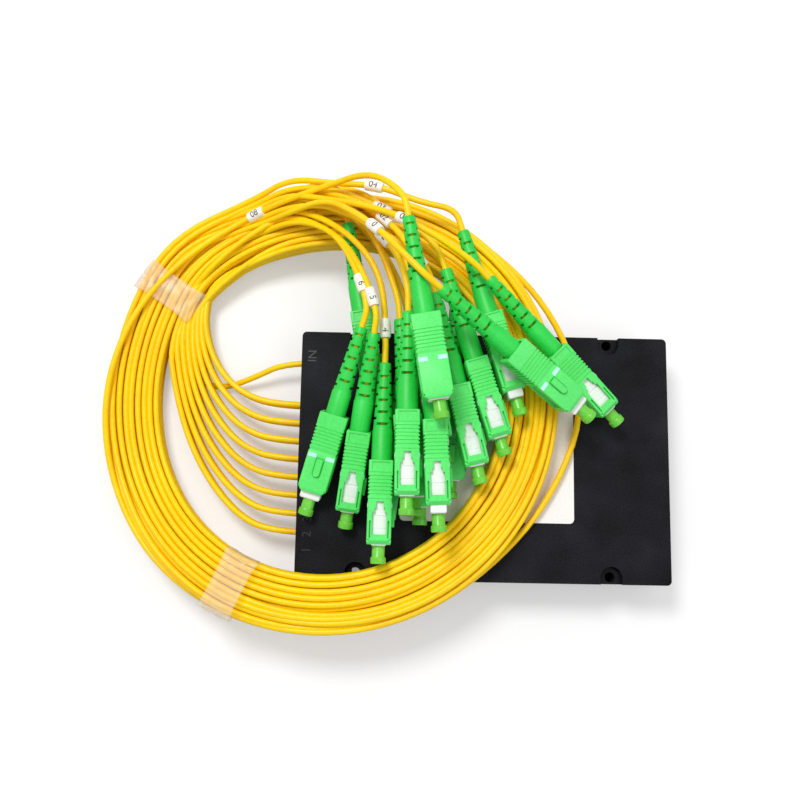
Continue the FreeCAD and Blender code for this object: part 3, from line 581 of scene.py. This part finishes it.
def coil_points(turns, column, row, bulge=0.0):
    """Control points at those turns from the left, from the column and row at each."""
    angle = 180 - 360 * turns
    radius = coil_inner(angle) + PITCH / 2 + PITCH * column + bulge
    radius /= math.cos(math.pi / STEPS)  # because the curve cuts the corners between its control points
    z = coil_lift(angle) + PITCH / 2 + PITCH * row
    a = np.radians(angle)
    return np.column_stack([COIL_MIDDLE[0] + radius * np.cos(a), COIL_MIDDLE[1] + radius * np.sin(a), z])


def output_strand(spot, first, last, phase):
    """An output cord in the coil, from one sample to another.

    It moves out by a set's width early in each turn, and stands off its place by a slow sine wave.
    """
    j = np.arange(first, last + 1)
    turns = j / STEPS
    joined = np.clip((np.mod(turns, 1) - 0.04) / 0.09, 0, 1)
    column = spot[j, 0] + SET_COLUMNS * (np.floor(turns) - 1 + joined)
    column += LOOSENESS + LOOSENESS * np.sin(phase + 2.3 * turns * math.pi)
    return coil_points(turns, column, spot[j, 1])


def input_strand(first, last):
    """The input cord in the coil, from one sample to another: along INPUT_PATH, with a bell-shaped bulge."""
    turns = np.arange(first, last + 1) / STEPS
    column, row = (np.interp(turns, INPUT_PATH[:, 0], INPUT_PATH[:, k]) for k in (1, 2))
    return coil_points(turns, column, row, BULGE * np.exp(-((turns - BULGE_AT) / BULGE_WIDE) ** 2))


# The first and the last cord of a row on their way from the box, and the heights of the two rows there.
LEAD_FIRST = [(-80, 20), (-88, 27.5), (-93, 37), (-95, 48), (-92.5, 60)]
LEAD_LAST = [(-80, -20.5), (-91, -8), (-98.5, 6), (-103.5, 22), (-106.5, 38)]
UPPER_ROW_Z = [10.5, 9.8, 8.6, 7.6, 7.0, 6.6]
LOWER_ROW_Z = [6.5, 6.2, 5.2, 4.4, 4.1, 4.0]
INPUT_ROUTE = [(-50, 31.4, 8.5), (-66, 31.4, 8.5), (-77, 26.5, 5.2), (-88, 22.8, 1.9), (-98, 25.4, 1.5),
               (-104.5, 34, 1.4), (-107, 46, 1.4)]
EXIT_X, EXIT_FIRST_Y, EXIT_PITCH, EXITS_IN_ROW = -60.0, 16.4, 6.0, 8


def lead_points(number, heights):
    """An output cord from the box to the coil, between the first and the last of its row."""
    share = number / (EXITS_IN_ROW - 1)
    y = EXIT_FIRST_Y - EXIT_PITCH * number
    route = [(-50, y, heights[0]), (-68, y, heights[0])]
    for (ax, ay), (bx, by), z in zip(LEAD_FIRST, LEAD_LAST, heights[1:]):
        route.append((ax + (bx - ax) * share, ay + (by - ay) * share, z))
    return route


# Each cord from the coil towards its plug's boot, with heights above the cover.
TAILS = {
    "a": [(-78, 77, -8), (-66, 82, -0.7), (-55.5, 78.5, 4), (-46.5, 68, 11)],
    "b": [(-78, 79, -8), (-66, 84.2, -0.7), (-54, 77.5, 4.5), (-44, 65.5, 13)],
    "c": [(-78, 81, -8), (-66, 86.4, -0.7), (-52.5, 79.5, 6), (-40.5, 66.5, 12), (-33.8, 53.5, 13.3)],
    "d": [(-78, 85, -8), (-66, 90.8, -0.7), (-52, 83, 8.5), (-39, 73.5, 15.5), (-29.5, 61.5, 20)],
    "e": [(-78, 84, -5.5), (-66, 88.4, 2.6), (-53, 89.5, 9.5), (-38.5, 88.5, 20.5)],
    "f": [(-78, 85, -9), (-66, 89.6, -3), (-52.5, 92.3, 0.6), (-42, 88.5, 3.5), (-33, 79, 9)],
    "g": [(-78, 82, -7), (-66, 86.2, 1.6), (-50, 83, 10.3), (-37, 73, 12.5), (-26.5, 65, 14.5)],
    "h": [(-78, 88, -7), (-66, 92.8, 1.6), (-51, 90, 6.5), (-37, 81.5, 9.5), (-26, 74, 12)],
    "i": [(-78, 90, -7), (-66, 95.5, 3), (-50, 91.5, 7), (-36, 88, 10), (-22, 80.5, 12.5)],
    "j": [(-78, 80, -7), (-66, 84, 1.6), (-53, 84.5, 11.5), (-43, 75, 20), (-34, 64, 31)],
    "k": [(-78, 86, -7), (-66, 90.6, 1.6), (-52, 84.5, 10.8), (-38, 78.5, 16.5), (-23, 69.5, 23)],
    "l": [(-78, 83, -8), (-66, 88.6, -0.7), (-51, 85.8, 7.5), (-38, 74, 10.5)],
    "m": [(-78, 87, -8), (-66, 93, -0.7), (-50, 87.5, 8.5), (-36, 78, 14), (-24.5, 62.5, 21)],
    "n": [(-78, 83, -9), (-66, 87.4, -3), (-53, 90, 0.4), (-43.5, 86, 1.7), (-32, 75, 3.7), (-17, 66, 7)],
    "o": [(-78, 79, -9), (-66, 83, -3), (-55, 85, 0.4), (-46.5, 81, 1.7), (-36, 70, 3.4), (-28, 56, 3.8)],
    "p": [(-78, 87, -9), (-68, 91.5, -3.5), (-58, 93.5, 0.5), (-51, 90.5, 3.8)],
    "q": [(-78, 81, -9), (-66, 85.2, -3), (-54, 87.5, 0.4), (-45, 83.5, 1.7), (-34, 72.5, 4),
          (-24.5, 59, 4)],
}
# How much nearer than those points the cords lie to the coil's middle, in Y, at each of them in turn.
DRAWN_IN = (2, 4, 3, 1, 0, 0)
# Which plug the cord in each place of the coil ends in, four columns of four. The input cord ends in the last.
PLUG_OF_PLACE = "oabjqclgnfdhpmki"
INPUT_PLUG = "e"
BOOT_LINE = (-64.2, -56.2, -17.5)  # X, in the plug's frame, of a cord's last points


def make_cord(name, points, lead_node):
    """A cord of round section along a smooth curve with those control points."""
    curve = bpy.data.curves.new(f"cord_{name}", "CURVE")
    curve.dimensions = "3D"
    spline = curve.splines.new("NURBS")
    spline.points.add(len(points) - 1)
    spline.points.foreach_set("co", np.column_stack([points * MM, np.ones(len(points))]).ravel())
    spline.order_u = 3
    spline.use_endpoint_u = True
    spline.resolution_u = 6
    curve.bevel_depth, curve.bevel_resolution, curve.use_fill_caps = CORD_RADIUS * MM, 3, True
    curve.materials.append(JACKET)
    piece = link(f"cord_{name}", curve)
    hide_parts(lead_node, "plug_tails", "cord_coil")
    return piece


LAST_SAMPLE = 2 * STEPS + 2
places, final_place = ranks_along(LAST_SAMPLE + 1, np.random.default_rng(7))
plug_by_name = {plug[0]: plug for plug in PLUGS}
cord_objects = {}
for cord in range(OUTPUTS + 1):
    is_input = cord == OUTPUTS
    column, row = divmod(cord, ROWS)
    if is_input:
        name, lead_node, start = INPUT_PLUG, "lead_input", INPUT_ROUTE
    elif row >= 2:
        name, lead_node = PLUG_OF_PLACE[final_place[cord]], "leads_upper_row"
        start = lead_points(2 * column + row % 2, UPPER_ROW_Z)
    else:
        name, lead_node = PLUG_OF_PLACE[final_place[cord]], "leads_lower_row"
        start = lead_points(2 * column + row % 2, LOWER_ROW_Z)
    end_angle = math.degrees(math.atan2(start[-1][1] - COIL_MIDDLE[1], start[-1][0] - COIL_MIDDLE[0]))
    first = math.ceil((180 - end_angle) / 360 * STEPS + 0.6)
    coil = input_strand(first, LAST_SAMPLE) if is_input else output_strand(places[cord], first, LAST_SAMPLE,
                                                                           cord * 1.7)
    turn, place = plug_frame(*plug_by_name[name][1:5])
    tail = [(x, y - nearer, z + BOX_TOP) for (x, y, z), nearer in zip(TAILS[name], DRAWN_IN)]
    tail += [tuple(turn @ np.array([x, 0, 0]) + place) for x in BOOT_LINE]
    points = np.concatenate([np.array(start, float), coil, np.array(tail, float)])
    exit_point = (EXIT_X * MM, start[0][1] * MM, start[0][2] * MM)
    cord_objects[name] = (make_cord(name, points, lead_node), exit_point)


def centreline(piece):
    """The cord's own smooth line, as points in millimetres."""
    data = piece.data.copy()
    data.bevel_depth = 0
    holder = bpy.data.objects.new("line", data)
    bpy.context.scene.collection.objects.link(holder)
    mesh = bpy.data.meshes.new_from_object(holder)
    line = np.empty(len(mesh.vertices) * 3)
    mesh.vertices.foreach_get("co", line)
    bpy.data.objects.remove(holder)
    bpy.data.curves.remove(data)
    bpy.data.meshes.remove(mesh)
    return line.reshape(-1, 3) / MM


def distances_along(line):
    """How far along a line each of its points is."""
    return np.concatenate([[0], np.cumsum(np.linalg.norm(np.diff(line, axis=0), axis=1))])


def along(line, distances):
    """Points and directions at those distances along a line."""
    travelled = distances_along(line)
    points = np.column_stack([np.interp(distances, travelled, line[:, k]) for k in range(3)])
    ahead = np.column_stack([np.interp(distances + 0.5, travelled, line[:, k]) for k in range(3)])
    direction = ahead - points
    return points, direction / np.linalg.norm(direction, axis=1, keepdims=True)


def over(ways):
    """The level direction across each way, and the one that points up from it."""
    across = np.cross(ways, [0, 0, 1.0])
    across /= np.linalg.norm(across, axis=1, keepdims=True)
    return across, np.cross(across, ways)


SLEEVE_LONG, SLEEVE_RADIUS = 6.0, 1.75
SLEEVES_FROM_END = 130  # the sleeves are on this last stretch of their cords
# The cord, the place nearest to the sleeve's middle, and its number.
SLEEVES = [("i", (-37.5, 86.5, 28), "04"), ("h", (-34, 78, 28), "03"), ("m", (-32, 73.5, 34), "02"),
           ("k", (-27, 71.5, 39), "07"), ("j", (-36, 66, 46), "10"), ("d", (-34, 67, 36), "12"),
           ("g", (-23.5, 60, 32.5), "11"), ("a", (-40, 52, 34), "16"), ("b", (-35.5, 47, 36.5), "15"),
           ("c", (-32.8, 38, 31.3), "14"), ("e", (-77, 82, 12), "08")]


def add_sleeve(name, near, text):
    """A number sleeve bent along its cord: rings square to the line, with the number wrapped over the top."""
    line = centreline(cord_objects[name][0])
    travelled = distances_along(line)
    too_early = travelled <= travelled[-1] - SLEEVES_FROM_END
    gap = np.linalg.norm(line - np.array(near), axis=1) + np.where(too_early, 1e6, 0)
    middle = travelled[np.argmin(gap)]
    points, ways = along(line, middle + np.linspace(-SLEEVE_LONG / 2, SLEEVE_LONG / 2, 9))
    side, up = over(ways)
    a = np.linspace(0, 2 * math.pi, 20, endpoint=False)
    radius = np.full(len(points), SLEEVE_RADIUS)
    radius[[0, -1]] -= 0.2
    rings = points[:, None] + radius[:, None, None] * (
        side[:, None] * np.cos(a)[None, :, None] + up[:, None] * np.sin(a)[None, :, None])
    verts, faces = lofted(rings, flip=True)
    tube = make_object(f"sleeve_{name}", verts, faces, [SLEEVE_PVC], sharp=60)
    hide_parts("number_sleeves")
    reading = 1 if ways[4][0] > -0.2 else -1  # the number reads from left to right

    def onto_sleeve(flat):
        at, way = along(line, middle + flat[:, 0] * reading)
        across, top = over(way)
        wrap = -flat[:, 1:2] * reading / SLEEVE_RADIUS
        out = SLEEVE_RADIUS + 0.02 + flat[:, 2:3]
        return at + out * (across * np.sin(wrap) + top * np.cos(wrap))

    return [tube, lettering(f"sleeve_{name}_number", text, 3.0, 0.02, INK, onto_sleeve)]


for name, near, text in SLEEVES:
    plug_pieces[name] += add_sleeve(name, near, text)


# ---------------------------------------------------------------- the tapes

FILM_THICK = 0.08
FILM_CORNERS = 5.0  # power of the superellipse: 2 is round, and more is squarer


def film_band(name, angle, half_width, columns, rows, node):
    """A band of film: a soft-cornered loop round the coil's section, carried along the coil.

    Across the section it is a superellipse. Its creases are two waves that run round it at different rates.
    """
    around = np.linspace(0, 2 * math.pi, 96, endpoint=False)
    across = np.linspace(-1, 1, 13)
    t, s = np.meshgrid(around, across, indexing="xy")
    half_r, half_z = columns * PITCH / 2 + 0.25, rows * PITCH / 2 + 0.3
    u = np.sign(np.cos(t)) * np.abs(np.cos(t)) ** (2 / FILM_CORNERS)
    v = np.sign(np.sin(t)) * np.abs(np.sin(t)) ** (2 / FILM_CORNERS)
    crease = 0.12 * np.sin(9 * t + 3 * s) + 0.10 * np.sin(17 * t - 5 * s + 1.0)
    edge = half_width * s * (1 + 0.05 * np.sin(3 * t))
    radius_mid = coil_inner(np.array(angle)) + half_r - 0.2
    turn = np.radians(angle) + edge / (radius_mid + half_r * u)
    radius = radius_mid + (half_r + crease) * u
    z = coil_lift(np.degrees(turn)) + half_z + (half_z + crease) * v
    x, y = COIL_MIDDLE[0] + radius * np.cos(turn), COIL_MIDDLE[1] + radius * np.sin(turn)
    verts = np.stack([x, y, np.maximum(z, 0.05)], axis=-1).reshape(-1, 3)
    band = make_object(name, verts, grid_faces(len(across), len(around)), [TAPE_FILM], sharp=180)
    thick = band.modifiers.new("thickness", "SOLIDIFY")
    thick.thickness, thick.offset = FILM_THICK * MM, 0
    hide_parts(node)


film_band("tape_upper_film", 146.0, 5.5, 10.9, 4.6, "tape_upper")
film_band("tape_lower_film", 245.0, 5.5, 9.4, 5.0, "tape_lower")


# ---------------------------------------------------------------- floor, lights and camera

GROUND_HALF, GROUND_Z = 2500, -0.02
GROUND_GLOW = 0.3  # share of plain white in what the camera sees of the ground
WORLD_LIGHT = 0.55
WHITE = (1, 1, 1, 1)


def backdrop_surface():
    """A white ground that shows plain white to the camera and keeps a soft shadow."""
    made = bpy.data.materials.new("white_ground")
    made.use_nodes = True
    tree = made.node_tree
    tree.nodes.clear()
    paper = add(tree, "ShaderNodeBsdfDiffuse", Color=(0.98, 0.98, 0.98, 1))
    ray = add(tree, "ShaderNodeLightPath")
    glow = add(tree, "ShaderNodeEmission", Color=WHITE, Strength=ray.outputs["Is Camera Ray"])
    lifted = add(tree, "ShaderNodeMixShader", Fac=GROUND_GLOW, i1=paper.outputs[0], i2=glow.outputs[0])
    add(tree, "ShaderNodeOutputMaterial", Surface=lifted.outputs[0])
    return made


corners = [[x * GROUND_HALF, y * GROUND_HALF, GROUND_Z] for x, y in ((-1, -1), (1, -1), (1, 1), (-1, 1))]
make_object("ground", corners, [[0, 1, 2, 3]], [backdrop_surface()], body=None)

# The camera sees the world as plain white. It lights the object more softly.
world = bpy.data.worlds.new("studio")
bpy.context.scene.world = world
world.use_nodes = True
tree = world.node_tree
tree.nodes.clear()
ray = add(tree, "ShaderNodeLightPath")
seen = add(tree, "ShaderNodeBackground", Color=WHITE, Strength=1.0)
lit = add(tree, "ShaderNodeBackground", Color=WHITE, Strength=WORLD_LIGHT)
sky = add(tree, "ShaderNodeMixShader", Fac=ray.outputs["Is Camera Ray"], i1=lit.outputs[0], i2=seen.outputs[0])
add(tree, "ShaderNodeOutputWorld", Surface=sky.outputs[0])


LIT_POINT = (-30, 20, 10)


def softbox(name, place_mm, size_mm, watts):
    """A round area lamp that faces LIT_POINT."""
    lamp = bpy.data.lights.new(name, "AREA")
    lamp.shape, lamp.size, lamp.energy = "DISK", size_mm * MM, watts
    holder = bpy.data.objects.new(name, lamp)
    bpy.context.scene.collection.objects.link(holder)
    place, aim = np.array(place_mm, float), np.array(LIT_POINT, float)
    holder.location = place * MM
    way = (aim - place) / np.linalg.norm(aim - place)
    holder.rotation_euler = (math.acos(-way[2]), 0, math.atan2(way[1], way[0]) - math.pi / 2)


softbox("key_softbox", (-250, 350, 700), 260, 3.7)
softbox("fill_softbox", (400, -100, 600), 500, 0.9)

# About 0.3 m above the box, turned a little off straight down.
lens = bpy.data.cameras.new("camera")
lens.sensor_width, lens.lens = 36.0, 39.87
lens.clip_start, lens.clip_end = 0.01, 20
camera = bpy.data.objects.new("camera", lens)
bpy.context.scene.collection.objects.link(camera)
camera.location = (-0.03104, -0.02393, 0.30382)
camera.rotation_euler = (0.1450, -0.0150, 0.0189)
bpy.context.scene.camera = camera
bpy.context.scene.view_settings.view_transform = "Standard"
